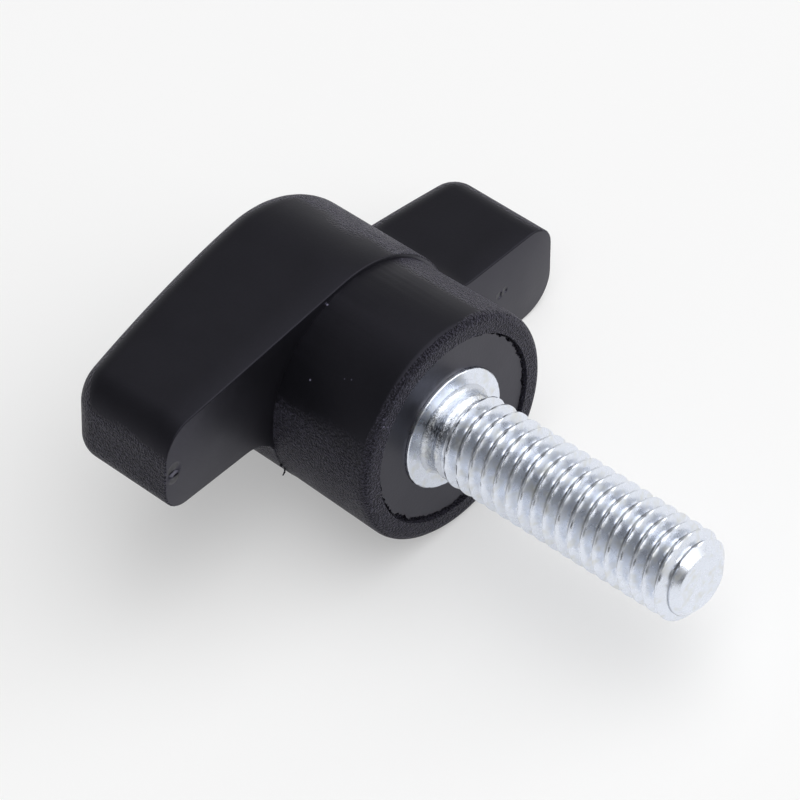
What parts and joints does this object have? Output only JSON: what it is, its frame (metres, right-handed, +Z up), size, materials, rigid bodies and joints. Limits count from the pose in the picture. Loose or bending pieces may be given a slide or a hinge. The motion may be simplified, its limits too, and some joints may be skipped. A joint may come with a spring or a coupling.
{
  "type": "thumb screw",
  "caption": "Thumb screw: a black moulded head with two S-set wings on a round boss, and a zinc-plated steel threaded stud with a flat collar at its root.",
  "frame": {"origin": "centre of the collar's flat clamping face, where the stud leaves the head", "axes": "+X along the stud axis towards its free end, +Y towards the tip of the wing whose outer edge lies on the floor, +Z up as the screw lies at rest"},
  "size_m": [0.0374, 0.0327, 0.0154],
  "materials": {
    "moulded_plastic": "matte",
    "zinc_plated_steel": "satin"
  },
  "bodies": {
    "root": {"wing_head": "moulded_plastic", "threaded_stud": "zinc_plated_steel"}
  },
  "joints": []
}
